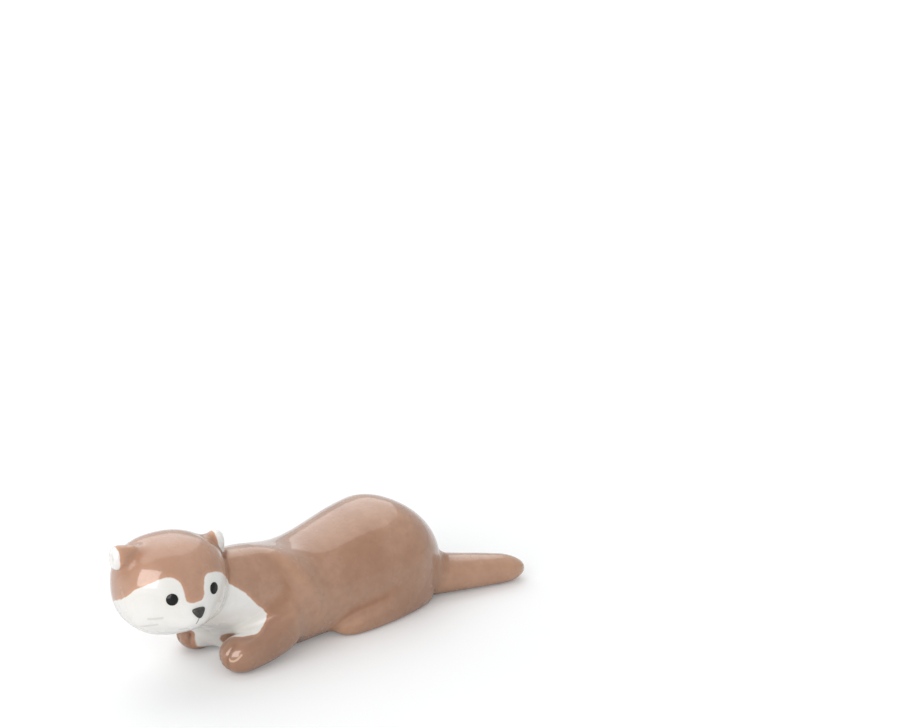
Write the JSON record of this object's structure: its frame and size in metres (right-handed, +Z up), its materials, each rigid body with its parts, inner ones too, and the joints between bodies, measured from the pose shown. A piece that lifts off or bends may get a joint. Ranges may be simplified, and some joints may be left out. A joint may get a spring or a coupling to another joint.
{
  "type": "chopstick rest",
  "caption": "Glazed ceramic otter lying on its belly with its head turned aside; chopsticks lie across the dip in its back.",
  "frame": {"origin": "centre of the flat bare foot under the belly, on the table", "axes": "+Z up, -Y towards the head end, +X towards the animal's left side, which is the side its face looks to"},
  "size_m": [0.0236, 0.0722, 0.0231],
  "materials": {
    "brown_clay": "clear gloss glaze over brown clay",
    "dark_brown_clay": "clear gloss glaze over darker brown clay",
    "white_clay": "clear gloss glaze over white clay",
    "black_glaze": "black gloss glaze",
    "bare_clay": "unglazed, ground flat"
  },
  "bodies": {
    "root": {"trunk": "brown_clay", "foot": "bare_clay", "throat_patch": "white_clay", "head": "brown_clay", "face_mask": "white_clay", "left_ear": "dark_brown_clay", "right_ear": "dark_brown_clay", "left_ear_lining": "white_clay", "right_ear_lining": "white_clay", "left_eye": "black_glaze", "right_eye": "black_glaze", "nose": "black_glaze", "left_foreleg": "brown_clay", "right_foreleg": "brown_clay", "left_hind_leg": "brown_clay", "right_hind_leg": "brown_clay", "tail": "dark_brown_clay"}
  },
  "joints": []
}
